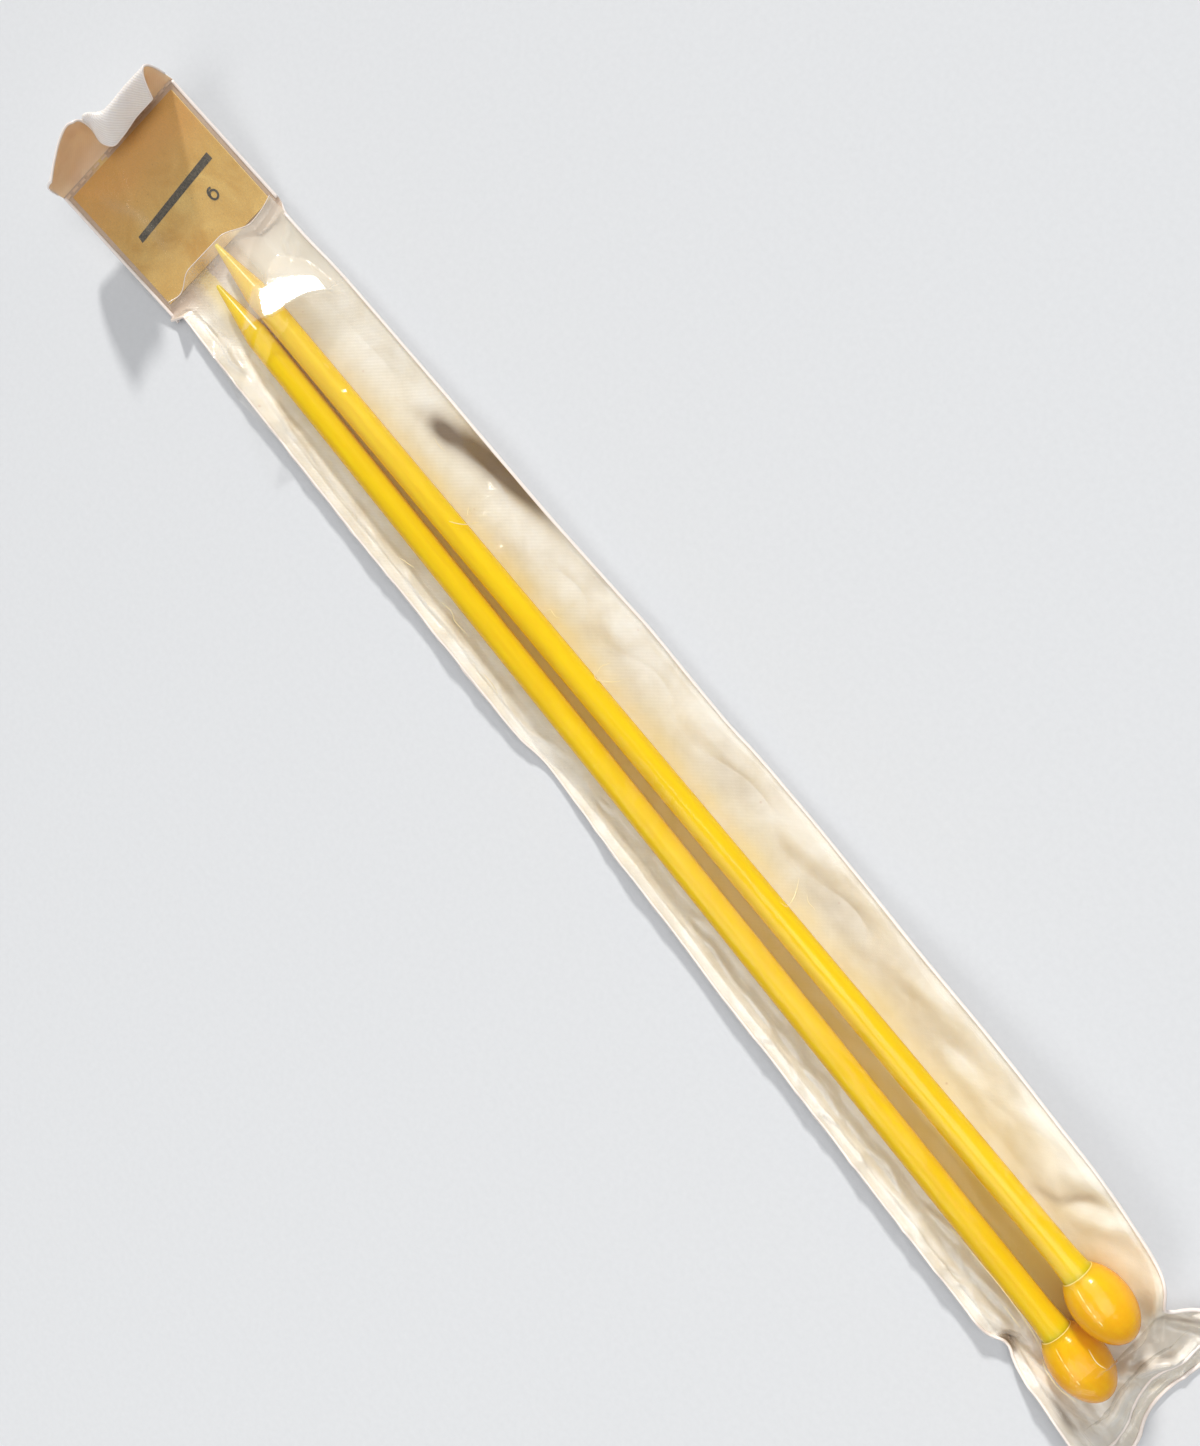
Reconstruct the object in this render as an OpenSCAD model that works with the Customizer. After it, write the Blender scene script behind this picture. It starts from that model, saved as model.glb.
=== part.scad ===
// A pair of knitting needles in their slip sleeve: two plastic needles, a pouch of ribbed vinyl with a clear
// front, and a label pocket with a tongue above the pouch's mouth. Millimetres, +Z up, +X from the tips to the heads.
// The origin is on the table, under the middle of the pouch.

/* [Needles] */
// Diameter of each shaft
needle_d = 5; // [4:0.25:6]
// Length of each shaft from its point to the head's neck
shaft_l = 241.6; // [236:0.2:248]
// Length of the tapered point
tip_l = 14; // [8:1:20]
// Radius that rounds the very end of the point
tip_r = 0.45; // [0.3:0.05:0.8]
// Largest diameter of each head
head_d = 10.1; // [9.4:0.1:10.4]
// Length of each head from its neck to its end
head_l = 12.4; // [11:0.1:13.5]
// Distance from a head's neck to its widest place
head_wide_at = 5.6; // [4.5:0.1:6.5]
// Diameter of the flat neck where a shaft enters its head
neck_d = 6; // [5.7:0.1:7]
// Diameter to which a shaft flares just before its head
flare_d = 5.6; // [5:0.1:5.8]
// Length of that flare
flare_l = 5; // [2:0.5:10]
// Diameter of the spigot on the shaft's end, inside the head
tenon_d = 3.4; // [2.5:0.1:4]
// Length of that spigot
tenon_l = 7; // [4:0.5:9]
// Radial gap between the spigot and its socket
joint_clear = 0.02; // [0.01:0.01:0.1]

/* [Needle places] */
// Point of the first needle, measured from the pouch's fold
tip_a_x = 3.1; // [2:0.1:8]
// Point of the first needle, across the pouch
tip_a_y = -4.15; // [-5:0.05:-4]
// Head of the first needle, across the pouch
head_a_y = -6.2; // [-6.8:0.1:-5.6]
// Point of the second needle, measured from the pouch's fold
tip_b_x = -3.3; // [-4:0.1:0]
// Point of the second needle, across the pouch
tip_b_y = 0.8; // [0.6:0.05:1.5]
// Head of the second needle, across the pouch
head_b_y = 3.5; // [3:0.1:3.8]
// Room between the two heads as one is drawn past the other
pass_gap = 0.35; // [0.3:0.05:0.8]
// Gap between a needle and the vinyl round it
needle_clear = 0.4; // [0.35:0.05:0.6]

/* [Pouch] */
// Length of the pouch from its fold to the bottom weld
pouch_l = 266; // [262:1:280]
// Width of the sleeve laid flat
sleeve_w = 32; // [31.6:0.2:35]
// Thickness of the ribbed back sheet
back_t = 0.4; // [0.3:0.05:0.5]
// Thickness of the clear film
film_t = 0.25; // [0.2:0.05:0.3]
// Width of the weld along each side of the pouch
weld_w = 1.5; // [1:0.1:2]
// Length of the weld across the bottom of the pouch
end_weld = 3; // [2:0.5:4]
// How far the film's mouth reaches past the fold
mouth_reach = 2; // [1.5:0.1:2.4]
// Height of the left edge over the table
edge_lift_left = 3.2; // [2:0.1:4]
// Height of the right edge over the table
edge_lift_right = 1.8; // [1:0.1:3]
// Height of the fold over the table
fold_lift = 0.6; // [0.6:0.1:1]

/* [Label flap] */
// Angle of the flap over the table
flap_angle = 14; // [11:0.2:17]
// Length of the flap from the fold to the tongue
flap_l = 32.4; // [31:0.2:36]
// Distance from the flap's sides to the label card
card_side = 1.6; // [1.2:0.1:3]
// Distance from the card's upper edge to the tongue
card_top = 1.3; // [1:0.1:3]
// Thickness of the label card
card_t = 0.3; // [0.2:0.05:0.4]
// Distance from the fold to the card's lower edge
card_start = 3.1; // [2.8:0.1:4]
// Gap round the card in its pocket
card_clear = 0.15; // [0.1:0.05:0.25]
// Gap between pieces that meet at a fold
fold_gap = 0.3; // [0.25:0.05:0.4]

/* [Tongue] */
// Length of the tongue along its curl
tongue_l = 13.6; // [12:0.2:15]
// Height of the standing lobe over the flap
lobe_h = 12; // [10:0.2:12.6]
// Height of the top of the roll over the flap
ridge_h = 8.7; // [7.5:0.1:9.5]
// Height of the rolled edge over the flap
edge_h = 5.4; // [4:0.1:6]
// How far the rolled edge leans sideways
roll_skew = 5.2; // [4:0.1:6]

/* [Hidden] */

// everything below is measured from the fold, then moved so that the origin is under the pouch's middle
fold_x = -pouch_l / 2;
needle_r = needle_d / 2;
head_r = head_d / 2;
rest_z = back_t + needle_clear;
seam = 0.03;

// heights of the two axes: the first head lies on the back sheet, the second rides up beside it
tip_z = fold_lift + rest_z + needle_r;
head_a_z = rest_z + head_r;
heads_apart = head_b_y - head_a_y;
head_b_z = head_a_z + sqrt(pow(head_d + pass_gap, 2) - heads_apart * heads_apart);

// each needle as its point, and the middle of its head at the widest place
mid_l = shaft_l + head_wide_at;
tip_a = [tip_a_x, tip_a_y, tip_z];
tip_b = [tip_b_x, tip_b_y, tip_z];
function run_of(tip, y, z) = sqrt(mid_l * mid_l - pow(y - tip[1], 2) - pow(z - tip[2], 2));
mid_a = [tip_a_x + run_of(tip_a, head_a_y, head_a_z), head_a_y, head_a_z];
mid_b = [tip_b_x + run_of(tip_b, head_b_y, head_b_z), head_b_y, head_b_z];

function step(x, a, b) = let (t = min(1, max(0, (x - a) / (b - a)))) t * t * (3 - 2 * t);
function bump(x, at, wide) = exp(-pow((x - at) / wide, 2));
function mix(a, b, t) = a * (1 - t) + b * t;

// Places along the pouch where its form changes
head_at = mid_b[0];
notch_mid = 0.445 * pouch_l;
notch_end = mid_a[0] - 7;
gather_at = mid_a[0] + 1;
end_at = pouch_l - end_weld;
lift_at = 0.27 * pouch_l;
settle_l = 22;
climb_l = 90;
notch_w = 14;

// The pouch's outline: drawn in a little at its mouth and round the heads, with a fold notch on each side
half_w = sleeve_w / 2;
function left_y(x) =
    -half_w * (0.865 + 0.02 * step(x, 0, notch_mid) + 0.115 * step(x, notch_mid, 0.85 * pouch_l)
        - 0.04 * bump(x, notch_mid, needle_d * 2) - 0.05 * bump(x, notch_end, needle_d * 0.8)
        + 0.05 * step(x, gather_at, end_at));
function right_y(x) =
    half_w * (0.95 + 0.11 * step(x, 0, 0.4 * pouch_l) - 0.11 * step(x, 0.72 * pouch_l, head_at + 2)
        - 0.32 * bump(x, gather_at + 1, needle_d * 0.7) + 0.1 * step(x, gather_at + 1, end_at));
function left_z(x) =
    edge_lift_left * (1 - 0.75 * bump(x, notch_mid, notch_w)) * (1 - 0.6 * bump(x, notch_end, needle_d))
    * (0.55 + 0.45 * step(x, 0, notch_w)) * (1 - 0.7 * step(x, end_at - 8, pouch_l));
function puff(x) = step(x, head_at - climb_l, head_at - head_wide_at) * (1 - step(x, mid_a[0], end_at));
function right_z(x) = mix(edge_lift_right * (1 + 0.9 * bump(x, lift_at, 0.07 * pouch_l)), head_b_z - 1.6, puff(x))
    * (1 - 0.45 * step(x, end_at - 4, pouch_l));
flat_left = -0.53 * half_w;
function flat_right(x) = mix(0.53 * half_w, head_a_y + 1.4, puff(x));

// Underside of the back sheet: flat on the table, with its two sides curled up and its mouth a little raised
function back_z(x, y) =
    let (l = left_y(x), r = right_y(x), f = flat_right(x))
    fold_lift * (1 - step(x, 0, settle_l))
    + (y < flat_left ? left_z(x) * pow((flat_left - y) / (flat_left - l), 2) : 0)
    + (y > f ? right_z(x) * pow((y - f) / (r - f), mix(2, 1.12, puff(x))) : 0);

// Where a needle's axis is at a distance along the pouch, and the radius that the film holds clear of there
function axis_at(tip, mid, x) =
    let (t = (x - tip[0]) / (mid[0] - tip[0])) [mix(tip[1], mid[1], t), mix(tip[2], mid[2], t)];
function held_r(mid, x) =
    let (off = x - mid[0], back = head_l - head_wide_at)
    max(needle_r * (1 - step(off, 0, back + 2)),
        off < 0 ? head_r + 0.14 * off : head_r * sqrt(max(0, 1 - pow(off / (back + 1.6), 2))));

// Points round a needle that the film is drawn over
film_gap = needle_clear + 0.15;
function over(tip, mid, x) =
    let (c = axis_at(tip, mid, x), r = held_r(mid, x) + film_gap)
    [for (a = [20:20:160]) [c[0] + r * cos(a), c[1] * (r > film_gap + 0.2 ? 1 : 0) + r * sin(a)]];
function chord(p, q, y) = mix(p[1], q[1], (y - p[0]) / max(0.01, q[0] - p[0]));
function taut(points, y) =
    max([for (p = points) for (q = points) if (p[0] <= y && q[0] >= y && p != q) chord(p, q, y)]);

// How close a place across the pouch is to the needles: 1 over them, 0 at the welds
function by_needles(x, y) =
    let (a = axis_at(tip_a, mid_a, x)[0], b = axis_at(tip_b, mid_b, x)[0])
    y < a ? step(y, left_y(max(x, 0)) + weld_w, a - 1.6) : 1 - step(y, b + 2, b + 8);

// The film's underside: drawn taut over the needles, but near the mouth it drops to the back sheet beside them
function film_z(x, y) =
    let (l = left_y(x), r = right_y(x), base = back_z(max(x, 0), y) + back_t + seam,
         wl = [l + weld_w, back_z(max(x, 0), l + weld_w) + back_t + seam],
         wr = [r - weld_w, back_z(max(x, 0), r - weld_w) + back_t + seam],
         a = axis_at(tip_a, mid_a, x), b = axis_at(tip_b, mid_b, x),
         hull_z = y <= wl[0] || y >= wr[0] ? base
             : taut(concat([wl, wr], over(tip_a, mid_a, x), over(tip_b, mid_b, x)), y),
         near = by_needles(x, y),
         hood = base + (max(a[1], b[1]) + needle_r + film_gap - base) * near,
         rise = x < 0 ? -x * tan(flap_angle) + fold_gap + film_t + card_t : 0)
    max(base, mix(hood, hull_z, step(x, 8, 55)) * (1 - step(x, end_at - 3, end_at))
        + base * step(x, end_at - 3, end_at)) + rise * (1 - near);

// Distances along the pouch at which its section is drawn, closer together round the fold and the heads
function stations(from) = concat(from < 0 ? [from] : [], [0, 4, 9, 15, settle_l],
    [for (i = [1:13]) mix(settle_l, head_at - 45, i / 13)],
    [for (i = [1:7]) mix(head_at - 45, head_at - 8, i / 7)],
    [for (i = [1:8]) mix(head_at - 8, gather_at, i / 8)], [for (i = [1:5]) mix(gather_at, pouch_l, i / 5)]);
// The bottom edge runs slightly askew
function skewed(x, y) = x - 0.2 * y * step(x, gather_at, pouch_l);

// A closed sheet between a lower and an upper grid of points, rows along x and columns across
module sheet(low, high) {
    n = len(low);
    m = len(low[0]);
    pts = concat([for (r = low) each r], [for (r = high) each r]);
    k = n * m;
    faces = concat(
        [for (i = [0:n - 2]) for (j = [0:m - 2]) each
            [[i * m + j, i * m + j + 1, (i + 1) * m + j + 1], [i * m + j, (i + 1) * m + j + 1, (i + 1) * m + j],
             [k + i * m + j, k + (i + 1) * m + j + 1, k + i * m + j + 1],
             [k + i * m + j, k + (i + 1) * m + j, k + (i + 1) * m + j + 1]]],
        [for (i = [0:n - 2]) each
            [[i * m, (i + 1) * m, k + (i + 1) * m], [i * m, k + (i + 1) * m, k + i * m],
             [i * m + m - 1, k + (i + 1) * m + m - 1, (i + 1) * m + m - 1],
             [i * m + m - 1, k + i * m + m - 1, k + (i + 1) * m + m - 1]]],
        [for (j = [0:m - 2]) each
            [[j, k + j + 1, j + 1], [j, k + j, k + j + 1],
             [(n - 1) * m + j, (n - 1) * m + j + 1, k + (n - 1) * m + j + 1],
             [(n - 1) * m + j, k + (n - 1) * m + j + 1, k + (n - 1) * m + j]]]);
    polyhedron(points = pts, faces = faces, convexity = 6);
}

// Columns across the pouch at one station: the two weld margins and the run between them
function columns(x, n) = let (l = left_y(x), r = right_y(x))
    concat([l], [for (i = [0:n]) mix(l + weld_w, r - weld_w, i / n)], [r]);

module sleeve_back() {
    xs = stations(0);
    low = [for (x = xs) [for (y = columns(x, 14)) [skewed(x, y), y, back_z(x, y)]]];
    high = [for (r = low) [for (p = r) p + [0, 0, back_t]]];
    color("mistyrose") translate([fold_x, 0, 0]) sheet(low, high);
}

module front_film() {
    xs = stations(-mouth_reach);
    // the mouth's edge reaches out over the needles and draws back at the welds
    low = [for (x = xs) [for (y = columns(max(x, 0), 18))
        let (u = x < 0 ? x * mix(0.4, 1, by_needles(x, y)) : x) [skewed(u, y), y, film_z(u, y)]]];
    high = [for (r = low) [for (p = r) p + [0, 0, film_t]]];
    color("lightyellow", 0.4) translate([fold_x, 0, 0]) sheet(low, high);
}

// Flap pieces are drawn flat, with x up the flap from the fold, then raised to the flap's angle
module on_flap() {
    translate([fold_x, 0, fold_lift]) rotate([0, flap_angle, 0]) mirror([1, 0, 0]) children();
}

tab_l = 1.2;
tab_w = half_w + left_y(0) - fold_gap;
window_start = mouth_reach / cos(flap_angle) + fold_gap;
top_band = 0.4;
card_w = sleeve_w - 2 * card_side;
card_l = flap_l - card_start - card_top;

module label_back() {
    color("linen") on_flap() {
        translate([fold_gap, -half_w, 0]) cube([flap_l - fold_gap, sleeve_w, back_t]);
        translate([-tab_l, -half_w, 0]) cube([tab_l + fold_gap + 0.5, tab_w, back_t]);
    }
}

module label_card() {
    color("goldenrod") on_flap()
        translate([card_start, -card_w / 2, back_t + seam]) cube([card_l, card_w, card_t]);
}

// The clear window with its pocket for the card
module label_window() {
    pocket_t = card_t + 2 * seam;
    color("whitesmoke", 0.35) on_flap() difference() {
        translate([window_start, -half_w, back_t])
            cube([flap_l - window_start - top_band, sleeve_w, pocket_t + film_t]);
        translate([card_start - card_clear, -card_w / 2 - card_clear, back_t - 1])
            cube([card_l + 2 * card_clear, card_w + 2 * card_clear, 1 + pocket_t]);
    }
}

// The tongue: one curl from the weld to a free edge that stands on the left and is rolled over on the right.
// across runs from -1 to 1 along the weld
function rolled(across) = step(across, -0.34, 0.3);
function free_edge(across) =
    let (k = rolled(across))
    [flap_l + tongue_l * mix(0.22 - 0.68 * pow(max(0, -across - 0.25), 2), -0.18, k),
     across * half_w + mix(half_w * 0.19 * pow(max(0, -across), 1.5), -roll_skew, k),
     mix(lobe_h, edge_h, k)];
function curl(across, b) =
    let (k = rolled(across), w = [flap_l + fold_gap, across * half_w, back_t / 2], e = free_edge(across),
         p1 = w + tongue_l * mix([0.16, 0, 0.05], [0.1, -0.04, 0.05], k),
         p2 = mix(e + tongue_l * [0.13, -0.05, -0.4],
                  [e[0] + 0.46 * tongue_l, e[1] + 0.88 * roll_skew, (ridge_h - 0.36 * edge_h) / 0.44], k),
         c = 1 - b)
    c * c * c * w + 3 * c * c * b * p1 + 3 * c * b * b * p2 + b * b * b * e;
function unit(v) = v / max(1e-6, norm(v));
function curl_normal(across, b) =
    let (h = 0.02, a0 = max(-1, across - h), a1 = min(1, across + h), b0 = max(0, b - h), b1 = min(1, b + h))
    unit(cross(curl(across, b1) - curl(across, b0), curl(a1, b) - curl(a0, b)));

module top_tongue() {
    n_across = 26;
    n_along = 9;
    grid = function (side) [for (i = [0:n_along]) [for (j = [0:n_across])
        let (a = mix(-1, 1, j / n_across), b = i / n_along) curl(a, b) + side * back_t / 2 * curl_normal(a, b)]];
    color("antiquewhite") on_flap() sheet(grid(-1), grid(1));
}

// A needle's pieces are turned along their own axis, with the point at the origin, then laid in their place
module laid(tip, mid) {
    d = mid - tip;
    translate([fold_x + tip[0], tip[1], tip[2]])
        rotate([0, -asin(d[2] / norm(d)), atan2(d[1], d[0])]) rotate([0, 90, 0]) children();
}

module shaft() {
    slope = atan((needle_r - tip_r) / (tip_l - tip_r));
    round_end = [for (i = [0:4]) let (a = mix(-90, -slope, i / 4)) [tip_r * cos(a), tip_r + tip_r * sin(a)]];
    flare = [for (i = [0:6]) [needle_r + (flare_d - needle_d) / 2 * pow(i / 6, 2), shaft_l - flare_l * (1 - i / 6)]];
    rotate_extrude($fn = 64) polygon(concat(round_end, [[needle_r, tip_l]], flare,
        [[tenon_d / 2, shaft_l], [tenon_d / 2, shaft_l + tenon_l], [0, shaft_l + tenon_l], [0, 0]]));
}

// An egg-shaped head with a flat neck and a blind socket for the shaft's spigot
module head() {
    front = head_wide_at / sqrt(1 - pow(neck_d / head_d, 2));
    rear = head_l - head_wide_at;
    socket_r = tenon_d / 2 + joint_clear;
    egg = [for (i = [0:24]) let (z = head_l * (1 - cos(180 * i / 24)) / 2, off = z - head_wide_at)
        [head_r * sqrt(max(0, 1 - pow(off / (off < 0 ? front : rear), 2))), z]];
    translate([0, 0, shaft_l]) rotate_extrude($fn = 64) polygon(concat(
        [[socket_r, seam], [neck_d / 2, seam]], [for (p = egg) if (p[1] > seam && p[1] < head_l - 0.001) p],
        [[0, head_l], [0, tenon_l + seam], [socket_r, tenon_l + seam]]));
}

module needle_a_shaft() { color("gold") laid(tip_a, mid_a) shaft(); }
module needle_a_head() { color("orange") laid(tip_a, mid_a) head(); }
module needle_b_shaft() { color("gold") laid(tip_b, mid_b) shaft(); }
module needle_b_head() { color("orange") laid(tip_b, mid_b) head(); }

sleeve_back();
front_film();
label_back();
label_card();
label_window();
top_tongue();
needle_a_shaft();
needle_a_head();
needle_b_shaft();
needle_b_head();
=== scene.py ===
"""A pair of yellow plastic knitting needles in their ribbed vinyl sleeve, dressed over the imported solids.

Lengths are in millimetres unless a line says otherwise, and colours are sRGB from 0 to 255. In the sleeve, x
runs from the fold at its mouth to the bottom weld, y across and z up. On the flap, u runs up from the fold
and w is the height above the flap's underside.
"""
from math import cos, pi, radians, sin, sqrt, tan

import bpy
import numpy as np
from mathutils import Euler, Matrix, Vector


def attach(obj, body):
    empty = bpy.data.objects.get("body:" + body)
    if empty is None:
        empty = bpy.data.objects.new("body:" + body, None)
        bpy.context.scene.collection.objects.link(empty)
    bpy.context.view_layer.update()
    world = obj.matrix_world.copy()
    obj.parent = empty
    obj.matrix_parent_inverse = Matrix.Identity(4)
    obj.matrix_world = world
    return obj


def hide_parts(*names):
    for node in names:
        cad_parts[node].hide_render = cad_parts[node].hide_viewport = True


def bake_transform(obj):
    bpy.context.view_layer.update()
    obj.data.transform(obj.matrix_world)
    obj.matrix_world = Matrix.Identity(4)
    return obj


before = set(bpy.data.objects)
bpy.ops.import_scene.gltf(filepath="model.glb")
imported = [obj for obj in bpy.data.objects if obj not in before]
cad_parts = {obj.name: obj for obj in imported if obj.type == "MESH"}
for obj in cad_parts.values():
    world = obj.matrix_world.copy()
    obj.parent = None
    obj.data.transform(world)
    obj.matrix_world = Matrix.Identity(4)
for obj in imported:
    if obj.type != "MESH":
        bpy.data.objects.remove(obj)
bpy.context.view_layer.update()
scene = bpy.context.scene
link = scene.collection.objects.link
MM = 0.001
FOLD_X = -133
FOLD = np.array([FOLD_X, 0, 0])

# Camera, fitted to the outlines of the needles, the label and the sleeve
SENSOR, FOCAL_PIXELS, PICTURE_PIXELS = 36, 1400, 1446
CAMERA_AT = Vector((164.97 + FOLD_X, 49.28, 246.23))
CAMERA_TURN = [radians(angle) for angle in (0.62191, 15.6845, 49.52845)]
lens = bpy.data.cameras.new("camera")
lens.sensor_width = SENSOR
lens.lens = SENSOR * FOCAL_PIXELS / PICTURE_PIXELS
lens.clip_start = 0.005
lens.clip_end = 20
camera = bpy.data.objects.new("camera", lens)
link(camera)
camera.matrix_world = Matrix.Translation(CAMERA_AT * MM) @ Euler(CAMERA_TURN).to_matrix().to_4x4()
scene.camera = camera


# Curves and noise
def unit(v):
    return np.clip(v, 0, 1)


def step(x, a, b):
    """Smooth rise from 0 at a to 1 at b."""
    t = unit((x - a) / (b - a))
    return t * t * (3 - 2 * t)


def bump_at(x, at, wide):
    """A bell of height 1."""
    return np.exp(-(((x - at) / wide) ** 2))


def spot(x, y, at, across, long, wide, slant=0):
    """A round bump of height 1, aslant by slant."""
    return np.exp(-(((x - at) - slant * (y - across)) / long) ** 2 - ((y - across) / wide) ** 2)


def curve(x, points):
    """Smooth line through points (x, value...), level at each turning point."""
    points = np.asarray(points, float)
    x = np.asarray(x, float)
    px, py = points[:, 0], points[:, 1:]
    slope = np.diff(py, axis=0) / np.diff(px)[:, None]
    m = np.vstack([slope[:1], (slope[1:] + slope[:-1]) / 2, slope[-1:]])
    ends = np.zeros_like(slope[:1], bool)
    m[np.vstack([ends, slope[1:] * slope[:-1] <= 0, ends])] = 0
    i = np.clip(np.searchsorted(px, x, side="right") - 1, 0, len(px) - 2)
    h = (px[i + 1] - px[i])[..., None]
    t = unit((x - px[i])[..., None] / h)
    out = ((1 + 2 * t) * (1 - t) ** 2 * py[i] + t * (1 - t) ** 2 * h * m[i]
           + t * t * (3 - 2 * t) * py[i + 1] + t * t * (t - 1) * h * m[i + 1])
    return out[..., 0] if out.shape[-1] == 1 else out


def lattice(i, j, seed):
    """A repeatable value from -1 to 1 at each whole-numbered corner."""
    v = np.sin(i * 127.1 + j * 311.7 + seed * 74.7) * 43758.5453
    return (v - np.floor(v)) * 2 - 1


def noise2(x, y, seed, scale, octaves):
    """Smooth noise, about -1 to 1, whose largest spots are scale across."""
    total, share, shares = 0, 1, 0
    x, y = x / scale, y / scale
    for k in range(octaves):
        i, j = np.floor(x).astype(int), np.floor(y).astype(int)
        fx, fy = x - i, y - j
        fx, fy = fx * fx * (3 - 2 * fx), fy * fy * (3 - 2 * fy)
        low = lattice(i, j, seed + k) * (1 - fx) + lattice(i + 1, j, seed + k) * fx
        high = lattice(i, j + 1, seed + k) * (1 - fx) + lattice(i + 1, j + 1, seed + k) * fx
        total = total + share * (low * (1 - fy) + high * fy)
        shares += share
        share *= 0.5
        x, y = x * 2.03, y * 2.03
    return total / shares


def ridged(x, y, seed, scale):
    """Sharp crumple ridges, 0 to 1."""
    return (1 - np.abs(noise2(x, y, seed, scale, 2))) ** 4


def crease(x, y, points, wide, high):
    """A low ridge along the points (x, y), fading at both ends."""
    points = np.asarray(points, float)
    nearest = np.full(np.shape(x), np.inf)
    along = np.zeros(np.shape(x))
    lengths = np.linalg.norm(np.diff(points, axis=0), axis=1)
    before = 0
    for a, b, length in zip(points[:-1], points[1:], lengths):
        dx, dy = b - a
        t = unit(((x - a[0]) * dx + (y - a[1]) * dy) / length ** 2)
        away = np.hypot(x - a[0] - t * dx, y - a[1] - t * dy)
        along = np.where(away < nearest, (before + t * length) / lengths.sum(), along)
        nearest = np.minimum(nearest, away)
        before += length
    fade = np.sin(pi * np.clip(along, 0.02, 0.98)) ** 0.6
    return high * fade * np.exp(-((nearest / wide) ** 2))


def directed(v):
    """Each vector at length 1."""
    return v / np.maximum(np.linalg.norm(v, axis=-1, keepdims=True), 1e-9)


def runs(*parts):
    """Stations in several runs of (first, last, count)."""
    return np.concatenate([np.linspace(*part) for part in parts])


# Meshes
def new_object(name, verts, faces, materials, kind=None, flat=None, smooth=True, attributes=None):
    """A mesh object. Its flat layout is a UV map, and an attribute is one value a point."""
    mesh = bpy.data.meshes.new(name)
    mesh.from_pydata((np.asarray(verts) * MM).reshape(-1, 3).tolist(), [], faces)
    for material in materials:
        mesh.materials.append(material)
    if kind is not None:
        mesh.polygons.foreach_set("material_index", np.asarray(kind, np.int32))
    if smooth:
        mesh.polygons.foreach_set("use_smooth", np.ones(len(mesh.polygons), bool))
    if flat is not None:
        layer = mesh.uv_layers.new(name="Flat")
        corners = np.zeros(len(mesh.loops), np.int32)
        mesh.loops.foreach_get("vertex_index", corners)
        layer.data.foreach_set("uv", flat.reshape(-1, 2).astype(np.float32)[corners].ravel())
    for key, values in (attributes or {}).items():
        attribute = mesh.attributes.new(key, "FLOAT", "POINT")
        attribute.data.foreach_set("value", np.asarray(values, np.float32).ravel())
    mesh.update()
    piece = bpy.data.objects.new(name, mesh)
    link(piece)
    return piece


def grid_faces(points):
    """The point numbers of a grid, and its four-sided faces."""
    n, m = points.shape[:2]
    ids = np.arange(n * m).reshape(n, m)
    return ids, np.stack([ids[:-1, :-1], ids[1:, :-1], ids[1:, 1:], ids[:-1, 1:]], -1).reshape(-1, 4)


def open_sheet(name, points, material, flat, attributes):
    """A sheet of no thickness."""
    faces = grid_faces(points)[1].tolist()
    return new_object(name, points, faces, [material], flat=flat, attributes=attributes)


def upward_normals(points):
    normal = directed(np.cross(np.gradient(points, axis=0), np.gradient(points, axis=1)))
    return -normal if normal[..., 2].mean() < 0 else normal


SHARP = radians(50)


def sheet(name, points, thick, materials, flat, attributes=None):
    """A closed sheet round a grid of points. Upper face, lower face and rim take materials 0, 1 and 2."""
    half = upward_normals(points) * thick / 2
    verts = np.stack([points + half, points - half])
    ids, upper = grid_faces(points)
    rim = np.concatenate([ids[:, 0], ids[-1, 1:], ids[-2::-1, -1], ids[0, -2:0:-1]])
    after, below = np.roll(rim, -1), ids.size
    round_rim = np.stack([after, rim, rim + below, after + below], 1)
    faces = np.vstack([upper, upper[:, ::-1] + below, round_rim]).tolist()
    kind = np.repeat([0, 1, 2], [len(upper), len(upper), len(rim)])
    doubled = {key: np.tile(values.ravel(), 2) for key, values in (attributes or {}).items()}
    piece = new_object(name, verts, faces, materials, kind, np.stack([flat, flat]), True, doubled)
    piece.data.set_sharp_from_angle(angle=SHARP)
    return piece


def tube(name, path, radius, material, sides=8, squash=1, up=(0, 0, 1)):
    """A closed tube along the path, flattened along up by squash."""
    ahead = directed(np.gradient(path, axis=0))
    side = directed(np.cross(ahead, up))
    top = np.cross(side, ahead)
    r = np.broadcast_to(radius, len(path))[:, None, None]
    turn = np.linspace(0, 2 * pi, sides, endpoint=False)[None, :, None]
    rings = path[:, None] + r * (np.cos(turn) * side[:, None] + squash * np.sin(turn) * top[:, None])
    ids = np.arange(rings.size // 3).reshape(-1, sides)
    after = np.roll(ids, -1, axis=1)
    walls = np.stack([ids[:-1], after[:-1], after[1:], ids[1:]], -1).reshape(-1, 4)
    faces = walls.tolist() + [ids[0, ::-1].tolist(), ids[-1].tolist()]
    return new_object(name, rings, faces, [material])


# Materials
def linear(r, g, b):
    """A colour from 0 to 255 in linear light, with no transparency."""
    parts = [c / 255 / 12.92 if c <= 10.3 else ((c / 255 + 0.055) / 1.055) ** 2.4 for c in (r, g, b)]
    return (*parts, 1)


BLACK, WHITE = (0, 0, 0, 1), (1, 1, 1, 1)
# The rib tone is painted shade in the ribs' grooves
RIB_GROOVE_SHADE, PEARL_TONE, SPECK_TONE = (168, 150, 140), (255, 252, 248), (178, 106, 70)
# Tones for painted shade on the flap and fold, for the needles' painted yellow light, and for painted shade
# in the folds
FLAP_PAINTED_SHADE, PAINTED_NEEDLE_LIGHT, FOLD_SHADE = (176, 146, 124), (252, 218, 104), (92, 68, 42)
FILM_GRIME, EDGE_TONE = (128, 92, 48), (236, 214, 200)
RIB_TURN, CROSS_TURN, CROSS_PITCH = 137.4, 51, 0.86


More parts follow.
